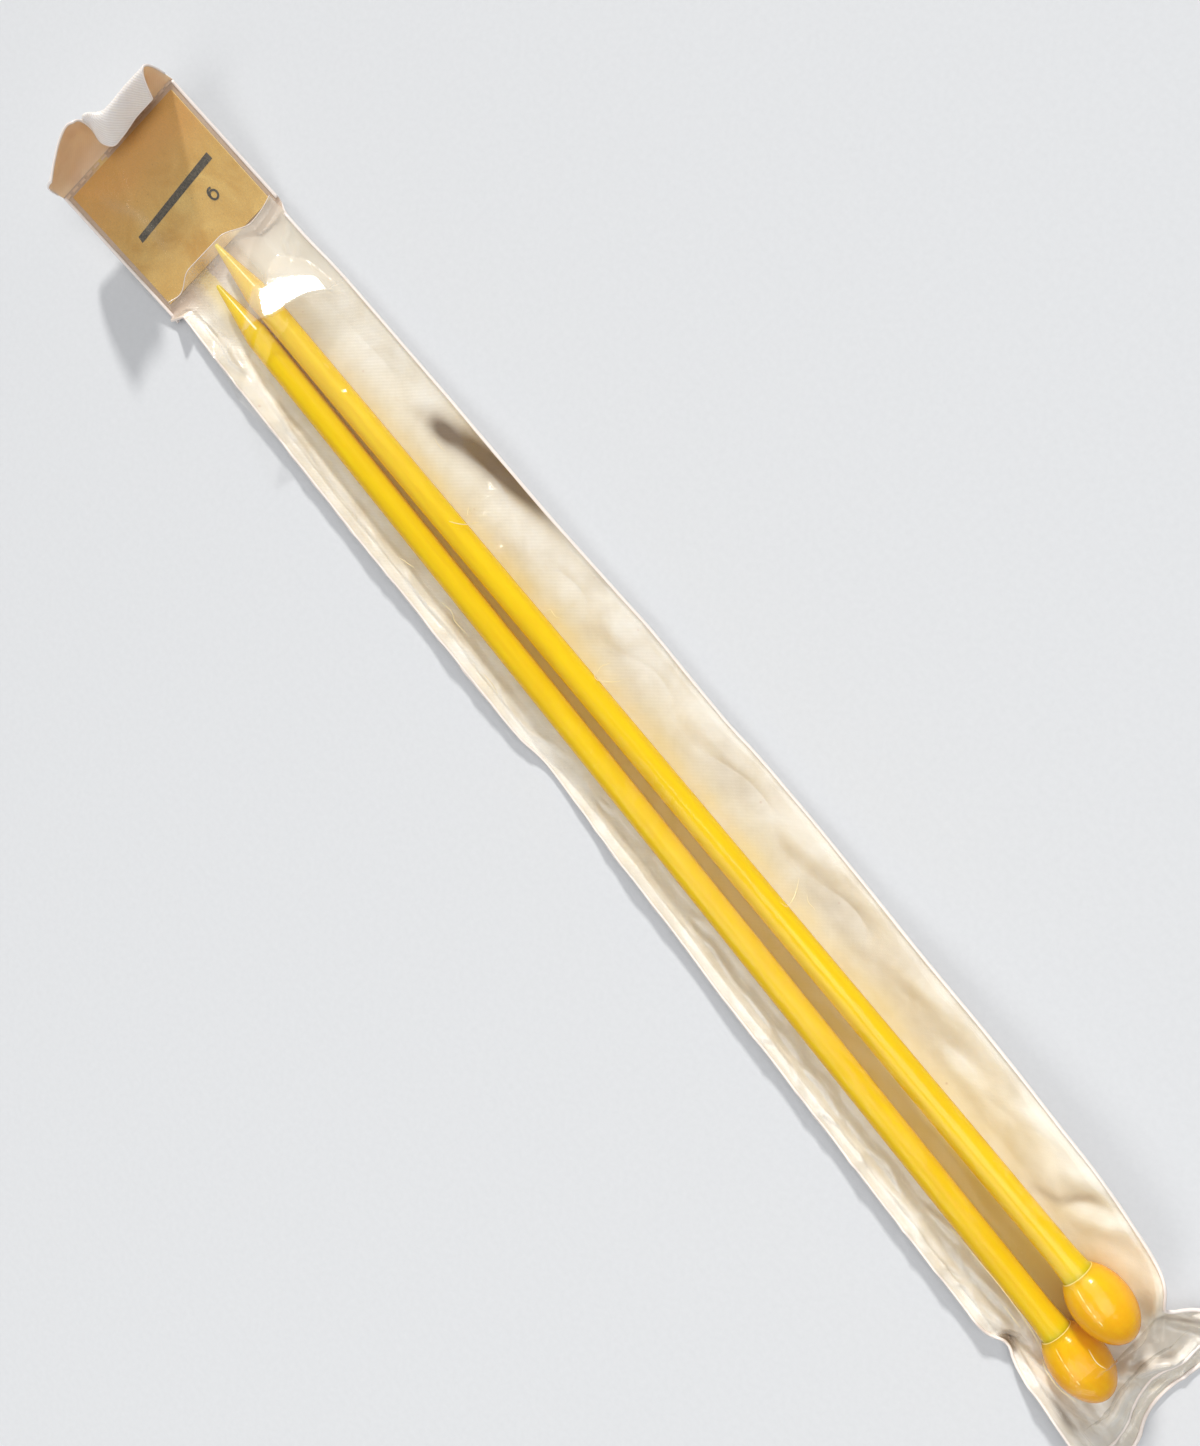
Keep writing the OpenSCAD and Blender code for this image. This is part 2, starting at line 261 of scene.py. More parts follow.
class Nodes:
    """Short way to build a node material. Colours of three numbers are from 0 to 255."""

    def __init__(self, name):
        self.material = bpy.data.materials.new(name)
        self.material.use_nodes = True
        self.tree = self.material.node_tree
        self.tree.nodes.clear()
        self.out = self.tree.nodes.new("ShaderNodeOutputMaterial")

    def add(self, kind, inputs=None, **settings):
        node = self.tree.nodes.new("ShaderNode" + kind)
        for key, value in settings.items():
            setattr(node, key, value)
        for key, value in (inputs or {}).items():
            self.put(node.inputs[key], value)
        return node

    def put(self, socket, value):
        if isinstance(value, bpy.types.Node):
            value = value.outputs[0]
        if isinstance(value, bpy.types.NodeSocket):
            self.tree.links.new(value, socket)
        else:
            socket.default_value = linear(*value) if socket.type == "RGBA" and len(value) == 3 else value

    def math(self, kind, a, b=0, c=0, clamp=False):
        return self.add("Math", {0: a, 1: b, 2: c}, operation=kind, use_clamp=clamp)

    def times(self, a, b):
        return self.math("MULTIPLY", a, b)

    def plus(self, a, b, clamp=False):
        return self.math("ADD", a, b, clamp=clamp)

    def scaled(self, value, by, offset, clamp=False):
        return self.math("MULTIPLY_ADD", value, by, offset, clamp)

    def ramp(self, value, *stops):
        node = self.add("ValToRGB", {0: value})
        marks = node.color_ramp.elements
        while len(marks) > 1:
            marks.remove(marks[-1])
        marks[0].position, marks[0].color = stops[0]
        for place, colour in stops[1:]:
            marks.new(place).color = colour
        return node

    def fade(self, value, black_at, white_at):
        return self.ramp(value, *sorted([(black_at, BLACK), (white_at, WHITE)]))

    def mix(self, share, a, b):
        return self.add("Mix", {0: share, 6: a, 7: b}, data_type="RGBA").outputs[2]

    def noise(self, vector, scale, detail=3, rough=0.55, distort=0):
        return self.add("TexNoise", {"Vector": vector, "Scale": scale, "Detail": detail, "Roughness": rough,
                                     "Distortion": distort})

    def specks(self, vector, scale, size):
        """White spots on black."""
        return self.fade(self.add("TexVoronoi", {"Vector": vector, "Scale": scale}), size, 0)

    def stretched(self, vector, by):
        return self.add("Mapping", {0: vector, 3: by})

    def bump(self, height, strength, metres):
        return self.add("Bump", {"Height": height, "Strength": strength, "Distance": metres})

    def attribute(self, name):
        return self.add("Attribute", attribute_name=name).outputs["Fac"]

    def flat(self):
        """Place on the flat sheet, in millimetres."""
        return self.add("UVMap", uv_map="Flat")

    def place(self):
        """Place in the object, in metres."""
        return self.add("TexCoord").outputs["Object"]

    def along_x(self, vector):
        return self.add("SeparateXYZ", {0: vector})

    def done(self, shader):
        self.put(self.out.inputs[0], shader)
        return self.material

    def surface(self, colour, rough, inputs=None):
        inputs = {"Base Color": colour, "Roughness": rough, **(inputs or {})}
        return self.done(self.add("BsdfPrincipled", inputs))


def ribs(net, flat, pitch, turn):
    """Fine ribs across the flat sheet: a sine along a direction turned from x by that many degrees."""
    parts = net.add("SeparateXYZ", {0: flat})
    angle = radians(turn)
    along = net.scaled(parts.outputs[0], cos(angle), net.times(parts.outputs[1], sin(angle)))
    return net.math("SINE", net.times(along, 2 * pi / pitch))


def vinyl(name, low, high, rib_depth, rough, pitch, painted=False):
    """Pearly ribbed vinyl: crossing ribs, weaker toward the bottom end, soft mottling and a few specks."""
    net = Nodes(name)
    flat = net.flat()
    toward_end = net.scaled(net.along_x(flat), 1 / 120, -0.6, clamp=True)
    main = net.times(ribs(net, flat, pitch, RIB_TURN), net.scaled(toward_end, -0.7, 1))
    cross = ribs(net, flat, CROSS_PITCH, CROSS_TURN)
    cloud = net.noise(flat, 0.11, 4, 0.6, 0.4)
    fine = net.noise(flat, 1.3, 3, 0.6)
    colour = net.mix(net.fade(cloud, 0.32, 0.68), low, high)
    # Painted shade: the ribs darken in their grooves
    colour = net.mix(net.times(net.scaled(main, 0.5, 0.5), 0.05 * rib_depth), colour, RIB_GROOVE_SHADE)
    colour = net.mix(net.times(fine, 0.10), colour, PEARL_TONE)
    # Painted shade on the flap and fold, the needles' painted yellow light, and painted shade in the folds,
    # by attribute
    if painted:
        for key, tone in (("tan", FLAP_PAINTED_SHADE), ("painted_needle_light", PAINTED_NEEDLE_LIGHT), ("shade", FOLD_SHADE)):
            colour = net.mix(net.attribute(key), colour, tone)
    colour = net.mix(net.times(net.specks(flat, 0.16, 0.05), 0.5), colour, SPECK_TONE)
    height = net.plus(net.times(main, 0.3 * rib_depth), net.times(cross, 0.12))
    height = net.plus(height, net.times(net.noise(flat, 0.4, 4, 0.55), 2.4))
    return net.surface(colour, net.scaled(fine, 0.14, rough - 0.07), {
        "IOR": 1.5, "Coat Weight": 0.55, "Coat Roughness": 0.2, "Subsurface Weight": 0.5,
        "Subsurface Radius": (1, 0.9, 0.75), "Subsurface Scale": 0.001,
        "Normal": net.bump(height, 0.4, 0.00004)})


def clear_film(name, milkiness, tint, rough, haze, crumple):
    """Clear film: gloss that grows to grazing; milkiness that also carries painted highlights, grime and
    dull places, by attribute.
    """
    net = Nodes(name)
    flat = net.flat()
    grime = net.attribute("grime")
    fine = net.noise(flat, 1.9, 5, 0.7)
    streaks = net.noise(net.stretched(flat, (0.05, 0.9, 1)), 2.2, 4, 0.5)
    grain = net.fade(net.noise(flat, 2.6, 6, 0.75), 0.44, 0.62)
    height = net.plus(net.times(net.noise(flat, 0.35, 4, 0.6, 0.6), 3.2), net.times(streaks, 0.8))
    bump = net.bump(height, crumple, 0.00012)
    facing = net.add("LayerWeight", {"Blend": 0.5, "Normal": bump}).outputs["Facing"]
    gloss = net.scaled(net.math("POWER", facing, 5), 0.96, 0.026)
    gloss = net.times(gloss, net.math("SUBTRACT", 1, net.attribute("dull"), clamp=True))
    milk = net.scaled(net.attribute("milk_and_highlight"), milkiness, haze)
    milk = net.plus(milk, net.times(net.times(grime, grain), 0.75))
    cover = net.plus(gloss, milk, clamp=True)
    shine = net.math("DIVIDE", gloss, cover, clamp=True)
    shader = net.add("BsdfPrincipled", {
        "Base Color": net.mix(grime, tint, FILM_GRIME), "Metallic": shine,
        "Roughness": net.scaled(fine, 0.08, rough - 0.04), "IOR": 1.5, "Normal": bump})
    clear = net.add("BsdfTransparent", {"Color": (0.995, 0.99, 0.98, 1)})
    return net.done(net.add("MixShader", {0: cover, 1: clear, 2: shader}))


def plastic(name, light, deep, edge, rough, flow_depth=0.5, inside=0.8):
    """Moulded plastic with soft flow marks along it, light that enters a little, and painted shade at its
    rims.
    """
    net = Nodes(name)
    place = net.place()
    flow = net.noise(net.stretched(place, (60, 900, 900)), 1, 4, 0.6, 0.3)
    fine = net.noise(place, 2600, 3, 0.6)
    colour = net.mix(net.fade(flow, 0.3, 0.72), deep, light)
    # Painted shade: surfaces seen edge-on turn toward the edge tone
    rim = net.add("LayerWeight", {"Blend": 0.5}).outputs["Facing"]
    colour = net.mix(net.times(net.math("POWER", rim, 2), 0.75), colour, edge)
    height = net.plus(net.times(flow, flow_depth), net.times(fine, 0.25))
    return net.surface(colour, net.scaled(fine, 0.12, rough - 0.05), {
        "IOR": 1.5, "Subsurface Weight": inside, "Subsurface Radius": (1, 0.8, 0.06),
        "Subsurface Scale": 0.0045, "Specular IOR Level": 0.2, "Normal": net.bump(height, 0.35, 0.00008)})


def card_material():
    """Golden kraft card: clouds, fine fibres and dark specks, and painted warm light near the tongue."""
    net = Nodes("kraft_card")
    place = net.place()
    cloud = net.noise(place, 110, 5, 0.62, 0.8)
    fibre = net.noise(net.stretched(place, (2600, 5200, 2600)), 1, 4, 0.7)
    grain = net.noise(place, 6500, 3, 0.6)
    colour = net.mix(net.fade(cloud, 0.3, 0.7), (204, 158, 76), (232, 198, 120))
    # Painted light: orange patches toward the tongue, for warm light through the tongue onto the card in its
    # shade
    toward_tongue = net.scaled(net.along_x(place), -120, -17.9, clamp=True)
    patches = net.ramp(cloud, (0.3, (0.4, 0.4, 0.4, 1)), (0.6, WHITE))
    colour = net.mix(net.times(net.times(toward_tongue, patches), 0.6), colour, (206, 134, 52))
    colour = net.mix(net.times(net.fade(fibre, 0.6, 0.35), 0.3), colour, (170, 126, 64))
    colour = net.mix(net.times(net.specks(place, 420, 0.08), 0.5), colour, (104, 72, 38))
    bump = net.bump(net.plus(fibre, net.times(grain, 0.5)), 0.25, 0.00004)
    return net.surface(colour, net.scaled(grain, 0.2, 0.45), {"IOR": 1.45, "Normal": bump})


def ink_material():
    """Dark print, worn thin in places."""
    net = Nodes("print_ink")
    wear = net.noise(net.place(), 2300, 4, 0.7)
    colour = net.mix(net.fade(wear, 0.42, 0.72), (46, 44, 44), (96, 88, 78))
    return net.surface(colour, net.scaled(wear, 0.2, 0.4))


def edge_material(name, tone, rough):
    """Welds, cut edges and sharp folds: one tone, lightly mottled, with a thin gloss."""
    net = Nodes(name)
    mottle = net.noise(net.place(), 800, 3, 0.6)
    colour = net.mix(net.times(mottle, 0.5), tone, EDGE_TONE)
    bump = net.bump(mottle, 0.3, 0.00008)
    return net.surface(colour, rough, {"Coat Weight": 0.4, "Coat Roughness": 0.15, "Normal": bump})


M_BACK = vinyl("vinyl_inner", (230, 222, 208), (250, 245, 236), 1, 0.34, 0.62, True)
M_OUT = vinyl("vinyl_outer", (240, 231, 224), (250, 245, 240), 4, 0.4, 0.38)
# The inner vinyl painted warm tan: painted shade and light through the sheet, for the tongue
M_INNER_PAINTED_SHADE = vinyl("vinyl_inner_painted_shade", (226, 190, 154), (240, 208, 174), 1.4, 0.4, 0.42)
M_EDGE = edge_material("vinyl_edge", (248, 240, 234), 0.25)
M_DASH = edge_material("weld_dash", (206, 178, 146), 0.3)
M_FILM = clear_film("film", 0.62, (252, 246, 234), 0.16, 0, 0.24)
M_WINDOW = clear_film("window_film", 0.2, (246, 234, 206), 0.13, 0.004, 0.3)
# Painted glints on sharp folds of the film
M_PAINTED_GLINT = edge_material("painted_glint_fold", (255, 236, 168), 0.25)
M_YELLOW = plastic("needle_yellow", (238, 206, 0), (228, 192, 0), (218, 150, 0), 0.24)
M_ORANGE = plastic("head_orange", (250, 192, 0), (242, 178, 0), (214, 118, 0), 0.18, 0.3)
# Pale yellow lip and seams: partly painted highlight of the light they catch
M_LIP_HIGHLIGHT = plastic("moulding_flash_highlight", (255, 236, 150), (255, 224, 110), (250, 200, 70), 0.16, 0.6, 0)
M_CARD = card_material()
M_INK = ink_material()
# Painted highlight: a bright golden line along the card's edges
M_CARD_EDGE_HIGHLIGHT = edge_material("card_edge_painted_highlight", (246, 212, 120), 0.3)

# The needles' sizes, their points and the middles of their heads, with x from the fold
needle_r, tip_r, tip_l, tip_z = 2.5, 0.45, 14, 3.9
shaft_l, flare_r, flare_l, neck_r = 241.6, 2.8, 5, 3
head_r, head_l, head_wide, head_gap = 5.05, 12.4, 5.6, 0.35
head_a_y, head_b_y, head_a_z = -6.2, 3.5, 5.85
head_b_z = head_a_z + sqrt((2 * head_r + head_gap) ** 2 - (head_b_y - head_a_y) ** 2)
middle_l = shaft_l + head_wide


def placed(tip, y, z):
    """A needle's point, and the middle of its head at that y and z."""
    tip = np.array(tip, float)
    middle_x = tip[0] + sqrt(middle_l ** 2 - (y - tip[1]) ** 2 - (z - tip[2]) ** 2)
    return tip, np.array([middle_x, y, z])


NEEDLE_A = placed((3.1, -4.15, tip_z), head_a_y, head_a_z)
NEEDLE_B = placed((-3.3, 0.8, tip_z), head_b_y, head_b_z)


def needle_radius(s):
    """Radius at a distance from the point, over shaft and head."""
    front = head_wide / sqrt(1 - (neck_r / head_r) ** 2)
    off = s - shaft_l - head_wide
    toward_end = np.where(off < 0, off / front, off / (head_l - head_wide))
    egg = head_r * np.sqrt(np.clip(1 - toward_end ** 2, 0, None))
    taper = tip_r + (needle_r - tip_r) * unit((s - tip_r) / (tip_l - tip_r))
    flare = needle_r + (flare_r - needle_r) * unit((s - shaft_l + flare_l) / flare_l) ** 2
    r = np.where(s < tip_l, taper, flare)
    r = np.where(s > shaft_l, egg, r)
    return np.where((s < 0) | (s > shaft_l + head_l), 0, r)


def axis_at(needle, x):
    """The y and z of the needle's axis."""
    tip, middle = needle
    t = (x - tip[0]) / (middle[0] - tip[0])
    return tip[1] + (middle[1] - tip[1]) * t, tip[2] + (middle[2] - tip[2]) * t


def middles(x):
    """The y of both needles' axes."""
    return axis_at(NEEDLE_A, x)[0], axis_at(NEEDLE_B, x)[0]


def needle_top(needle, x, y):
    """Height of the needle's upper side, or far below the table beside it."""
    centre, z = axis_at(needle, x)
    r = needle_radius(x - needle[0][0])
    return np.where(np.abs(y - centre) < r, z + np.sqrt(np.clip(r * r - (y - centre) ** 2, 0, None)), -50)


def paint(node, material):
    node.data.materials.clear()
    node.data.materials.append(material)


# The needles keep their solids and take plastic
for key, material in (("shaft", M_YELLOW), ("head", M_ORANGE)):
    for which in "ab":
        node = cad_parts[f"needle_{which}_{key}"]
        paint(node, material)
        node.data.polygons.foreach_set("use_smooth", np.ones(len(node.data.polygons), bool))

# A broken mould line on each head, and the thin lip where the head meets the shaft, pale yellow: partly
# painted highlight
SEAM_RUNS = [(0.8, 2.9), (3.1, 4.4), (4.8, 5.4), (6, 6.9)]
SEAM_R, SEAM_TURN, SEAM_POINTS = 0.11, radians(105), 12
LIP_R, LIP_POINTS = 0.13, 72
for which, (tip, middle) in (("a", NEEDLE_A), ("b", NEEDLE_B)):
    ahead = directed(middle - tip)
    side = directed(np.cross(ahead, (0, 0, 1)))
    top = np.cross(side, ahead)
    out = cos(SEAM_TURN) * -side + sin(SEAM_TURN) * top
    origin = tip + FOLD
    i = np.arange(SEAM_POINTS)
    thinning = np.clip(np.minimum(i, i[::-1]) / 2, 0.15, 1)
    for k, (first, last) in enumerate(SEAM_RUNS):
        at = np.linspace(shaft_l + first, shaft_l + last, SEAM_POINTS)
        path = origin + at[:, None] * ahead + (needle_radius(at) - 0.02)[:, None] * out
        line = tube(f"needle_{which}_head_{k}_line", path, SEAM_R * thinning, M_LIP_HIGHLIGHT, 6, 1, out)
        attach(line, f"needle_{which}")
    turn = np.linspace(0, 2 * pi, LIP_POINTS + 1)[:-1, None]
    ring = origin + (shaft_l + 0.05) * ahead + (neck_r * 0.95) * (np.cos(turn) * side + np.sin(turn) * top)
    lip = tube(f"needle_{which}_lip", np.vstack([ring, ring[:1]]), LIP_R, M_LIP_HIGHLIGHT, 6, 1, ahead)
    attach(lip, f"needle_{which}")

# The sleeve's form: thickness of the back sheet, its height at the fold, and the main lengths
BACK_T, FOLD_LIFT, GAP = 0.4, 0.6, 0.03
POUCH_L, HALF_W, WELD_W = 266, 16, 1.5
FLAP_L, FLAP_TILT = 32.4, radians(14)
head_at, gather_at, end_at = NEEDLE_B[1][0], NEEDLE_A[1][0] + 1, POUCH_L - 3
notch_mid, notch_end, lift_at = 0.445 * POUCH_L, NEEDLE_A[1][0] - 7, 0.27 * POUCH_L
FLAT_HALF = 8.5

LEFT = [
    (-2, -13.9), (5.5, -13.9), (31, -14.1), (56, -14.3), (80, -14.35), (103, -14.5), (110.2, -14.7),
    (117.5, -14), (125, -14.1), (132, -14.2), (140, -14.35), (154, -14.65), (168, -15.15), (185, -15.4),
    (202, -15.8), (221, -16.2), (234, -16.4), (238.6, -16.5), (240.5, -16.1), (241.9, -15.1),
    (243.4, -14.9), (245.2, -15.6), (247.6, -16.1), (252.6, -16.3), (261.7, -17.3), (267, -17.6)]
RIGHT = [
    (-2, 15.2), (3, 15.2), (8.7, 15.3), (17.3, 15.8), (38, 16.1), (66, 16.4), (89, 16.5), (104.4, 16.9),
    (111.8, 17.1), (122.8, 16.9), (133.6, 16.8), (140.7, 17.1), (154.6, 17.15), (168.2, 17), (184.8, 16.75),
    (200.6, 16.8), (218.9, 16.4), (228.7, 16.1), (234, 15.6), (239, 15), (243, 14.4), (246.4, 13.5),
    (248.4, 12.3), (249.9, 11), (251.2, 10.2), (252.4, 10.6), (254, 12.1), (255.8, 13.7), (258.5, 15.4),
    (262, 16.6), (267, 17.2)]
BOTTOM = [
    (-17.5, 268.3), (-13, 268.2), (-8.6, 267.3), (-4.4, 264.7), (-0.2, 263.5), (7.3, 263.2), (12, 263.5),
    (17.5, 264.4)]


def left_y(x):
    return curve(x, LEFT)


def right_y(x):
    return curve(x, RIGHT)


def left_z(x):
    """Height of the left side's curl, lower at two notches."""
    return (3.2 * (1 - 0.75 * bump_at(x, notch_mid, 14)) * (1 - 0.6 * bump_at(x, notch_end, 5))
            * (0.55 + 0.45 * step(x, 0, 14)) * (1 - 0.7 * step(x, end_at - 8, POUCH_L)))


def puff(x):
    """How far the pouch's right side is drawn up by the second head, 0 to 1."""
    return step(x, head_at - 90, head_at - head_wide) * (1 - step(x, head_at + 2.7, NEEDLE_A[1][0] + 6.7))


def right_z(x):
    """Height of the right side's curl."""
    p = puff(x)
    curl = 1.8 * (1 + 0.9 * bump_at(x, lift_at, 18.6))
    return (curl * (1 - p) + (head_b_z - 1.6) * p) * (1 - 0.45 * step(x, end_at - 4, POUCH_L))


def back_z(x, y):
    """Underside of the back sheet: flat in the middle, curled up at both sides."""
    p = puff(x)
    flat_to = FLAT_HALF * (1 - p) + (head_a_y + 1.4) * p
    power = 2 * (1 - p) + 1.12 * p
    left_in = np.abs((-FLAT_HALF - y) / (-FLAT_HALF - left_y(x)))
    left = np.where(y < -FLAT_HALF, left_z(x) * left_in ** 2, 0)
    right_in = np.maximum(y - flat_to, 0) ** power / (right_y(x) - flat_to) ** power
    right = np.where(y > flat_to, right_z(x) * right_in, 0)
    return FOLD_LIFT * (1 - step(x, 0, 22)) + left + right


def to_end(x, y):
    """The place along the sleeve, moved near the bottom so that it ends on the bottom's edge."""
    return x + (curve(y, BOTTOM) - POUCH_L) * step(x, 249, POUCH_L)


def flap_point(u, y, w):
    """A point up the flap, across it, and above its underside."""
    up = -u * cos(FLAP_TILT) + w * sin(FLAP_TILT)
    high = u * sin(FLAP_TILT) + w * cos(FLAP_TILT) + FOLD_LIFT
    return np.stack([up, y + 0 * u, high], -1)


# Folds of the back sheet: long creases, round dimples and the crumples of the bottom end
LONG = [  # points, width, height
    ([(32, -10.7), (53, -11.4), (79, -11.7), (102, -11.5), (119, -11.3)], 0.9, 0.5),
    ([(14, -9.9), (32, -11.4), (45, -12.3)], 0.8, 0.4),
    ([(125, -12.1), (147, -12.7), (172, -13.4), (201, -13.6), (234, -13.6)], 0.8, 0.55),
    ([(172, -11.4), (201, -12.1), (227, -12.1)], 0.6, 0.4)]
DIMPLES = [  # x, y, length, width, height
    (34.6, 7.9, 7, 2.6, -0.5), (47.3, 10.7, 5, 3, 0.45), (60.6, 7.8, 6, 2.4, -0.5),
    (69.8, 12.1, 6, 2.2, -0.9), (82, 9.3, 7, 3, 0.5), (95.5, 8.7, 5, 2.6, -1.02), (106.5, 11.8, 6, 3, 0.85),
    (117.9, 9.3, 5, 2.6, -1.105), (131.4, 12.7, 6, 2.6, 0.85), (144.5, 10, 5.5, 2.6, -1.105),
    (158.9, 12.9, 6, 2.6, 0.85), (172.8, 10.9, 5, 2.4, -1.02), (189.3, 12.7, 6, 2.4, 0.935),
    (203, 11.1, 5, 2.2, -1.02), (217, 13, 5, 2, 0.5), (227, 12.6, 3, 2.4, 0.45),
    (231.6, 11.4, 2.2, 3.4, -0.675), (235.4, 11, 2.4, 2.6, 0.6), (241, 11.4, 3, 2, -0.375)]
ENDS = [
    ([(246, 13.4), (250.5, 9.2), (253.5, 5.4), (256, 4)], 1.3, 1.3),
    ([(251.6, 9.6), (254, 11), (257.4, 13.6), (262, 16)], 1, 1.4),
    ([(252.4, 7.6), (255, 8.6), (258, 11.4), (261.4, 14)], 0.7, -1),
    ([(256.4, -3.6), (258.2, -0.6), (258.6, 2), (259.7, 4.2), (260.2, 7), (259.6, 10)], 0.85, 1.7),
    ([(262, 12), (260.9, 9), (261.4, 3.8), (261.1, 0.1), (261.9, -3), (263, -5.7), (264.4, -8.7),
      (265.6, -12)], 0.5, -1),
    ([(259.8, -1.8), (259.4, -4.6), (261, -7.6), (262.4, -11)], 0.8, 1.2),
    ([(255, -1.6), (256.6, -6), (257.4, -10)], 0.7, -0.6),
    ([(241.8, -15.2), (249.4, -13.7), (257, -13.4), (267, -14.8)], 0.8, 1.1),
    ([(244.3, -13.8), (250.6, -12), (256, -11), (262, -11.4)], 0.6, 0.8),
    ([(256, -12.2), (260, -13.6), (265, -13)], 0.9, 0.7),
    ([(225.1, -12), (231.9, -11.7), (238.3, -11), (242, -11.4)], 0.7, 0.7),
    ([(232, -14), (237, -13.6), (241, -13)], 0.6, 0.6),
    ([(241, -14.3), (242.8, -13.9), (244.4, -13)], 0.5, -1)]
END_CRUMPLE = (61, 6.5)
DIMPLE_SLANT = 0.6


def wobble(x, y):
    """Low folds of the back sheet, none under its flat middle, and none that reach the table."""
    w = 0.22 * noise2(x, y * 2.2, 5, 11, 3) * unit((np.abs(y) - FLAT_HALF) / 5)
    w = w + 0.65 * ridged(x * 0.5, y * 1.2, 62, 4) * unit((-FLAT_HALF - y) / 3)
    w = w + 0.5 * ridged(x, y, *END_CRUMPLE) * step(x, 245, 251)
    end_x = to_end(x, y)
    for points, wide, high in LONG + ENDS:
        w = w + crease(end_x, y, points, wide, high)
    w = w + 0.8 * step(x, 247, 256) * (1 - step(x, 262, POUCH_L))
    for at, across, long, wide, high in DIMPLES:
        w = w + high * spot(x, y, at, across, long, wide, DIMPLE_SLANT)
    return np.maximum(w, -0.85 * np.clip(back_z(np.maximum(x, 0), y), 0, None) + 0.05)


# Painted light and shade on the back sheet: the needles' yellow light and the shadow in its folds
SHADES = [  # points, width, strength
    ([(51, 10.2), (56, 11.4), (62, 12.9), (69, 14.2), (76.5, 15.2), (84, 16.2)], 2.3, 0.9),
    ([(57, 14), (65, 15.4), (75, 16), (90, 16.6)], 1.7, 0.4),
    ([(224, 5.4), (229.3, 8), (230.9, 12.5), (234, 13.9)], 0.9, 0.35),
    ([(254, 0.5), (255.6, 3.4), (257.4, 0.6), (256.6, -3)], 2, 0.3),
    ([(252.6, -14.2), (256.4, -14.6), (258.6, -14.2)], 0.8, 0.5),
    ([(252.4, 7.4), (255, 8.8), (257.4, 11.6), (258.6, 14)], 0.8, 0.45),
    ([(240.6, -14.8), (243.2, -14.3), (245.4, -14.6)], 0.8, 0.8)]


def painted_needle_light_at(x, y):
    """Painted light: the yellow light the needles throw on the back sheet, right of them, left and between.
    """
    a, b = middles(x)
    mottle = (0.75 + 0.5 * noise2(x, y, 3, 9, 3)) * (0.35 + 0.65 * step(x, 20, 70))
    right = 0.5 * np.exp(-np.clip(y - b - 2.6, 0, None) / 3.6) * (y > b) * mottle
    left = 0.45 * np.exp(-np.clip(a - 2.4 - y, 0, None) / 1.5) * (y < a)
    between = 0.8 * (y >= a) * (y <= b) * step(x, 0, 20)
    return unit((1 - step(x, head_at, gather_at + 4)) * (right + left + between))


def shade_at(x, y):
    """Painted shade: soft shadow of the deep folds, some of it in mottled patches."""
    a, b = middles(x)
    left_margin = unit((a - 3 - y) / 1.5)
    right_margin = unit((y - b - 4) / 2) * step(x, 84, 100)
    shade = 0.16 * unit(noise2(x * 0.45, y * 1.6, 71, 3.4, 3) + 0.15) * left_margin
    shade += 0.24 * unit(noise2(x, y * 1.3, 72, 7, 3)) * right_margin
    shade += 0.5 * spot(x, y, 56, 10.9, 3.4, 1.9)
    shade += 0.22 * step(x, 247, 254) * (1 - ridged(x, y, *END_CRUMPLE))
    for points, wide, strength in SHADES:
        shade += crease(x, y, points, wide, strength)
    return np.clip(shade, 0, 0.85)


# The back sheet: one piece from the bottom weld, over the fold, to the weld under the tongue
def side_y(x, first, last, flap_y, edge):
    """A side of the back sheet: the flap's to first, the pouch's from last, a straight line between."""
    between = flap_y + (x - first) / (last - first) * (edge(last) - flap_y)
    return np.where(x < first, flap_y, np.where(x > last, edge(x), between))


back_x = runs((-FLAP_L - 0.1, -3, 56), (-2.6, 2.6, 27), (3.2, 230, 240), (230.6, POUCH_L, 100))
across = np.concatenate([[0, 0.012, 0.03], np.linspace(0.05, 0.95, 112), [0.97, 0.988, 1]])
left = side_y(back_x, 1.1, 1.6, -HALF_W, left_y)
right = side_y(back_x, -2.6, 2.6, HALF_W, right_y)
X = np.repeat(back_x[:, None], len(across), 1)
Y = left[:, None] + (right - left)[:, None] * across[None]
pouch_z = back_z(np.maximum(X, 0), Y) + BACK_T / 2 + wobble(X, Y) * step(X, 3, 12)
over_fold = step(X, -1.8, 1.8)[..., None]
bent = flap_point(-X, Y, BACK_T / 2) * (1 - over_fold)
bent = bent + np.stack([to_end(X, Y), Y, pouch_z], -1) * over_fold
# The tan attribute is painted shade: the flap and the fold turn warmer and darker, as they look in shade
back = sheet("back_sheet", bent + FOLD, BACK_T, [M_BACK, M_OUT, M_EDGE], np.stack([X, Y], -1),
             {"tan": 0.75 * (1 - step(X, -3, 6)), "painted_needle_light": painted_needle_light_at(X, Y), "shade": shade_at(X, Y)})
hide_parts("sleeve_back", "label_back")
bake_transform(back)

# The clear front film of the pouch, drawn taut over the needles
FILM_GAP = 0.25


def held_r(middle, x):
    """Radius that holds the film up: the shaft, and the head with a slope before and behind it."""
    off, tail = x - middle[0], head_l - head_wide
    shaft = needle_r * (1 - step(off, 0, tail + 2))
    behind = head_r * np.sqrt(np.clip(1 - (off / (tail + 1.6)) ** 2, 0, None))
    return np.maximum(shaft, np.where(off < 0, head_r + 0.14 * off, behind))


def turns_up(a, b, c):
    """Whether the path a, b, c turns upward at b."""
    return (b[0] - a[0]) * (c[1] - a[1]) >= (b[1] - a[1]) * (c[0] - a[0])


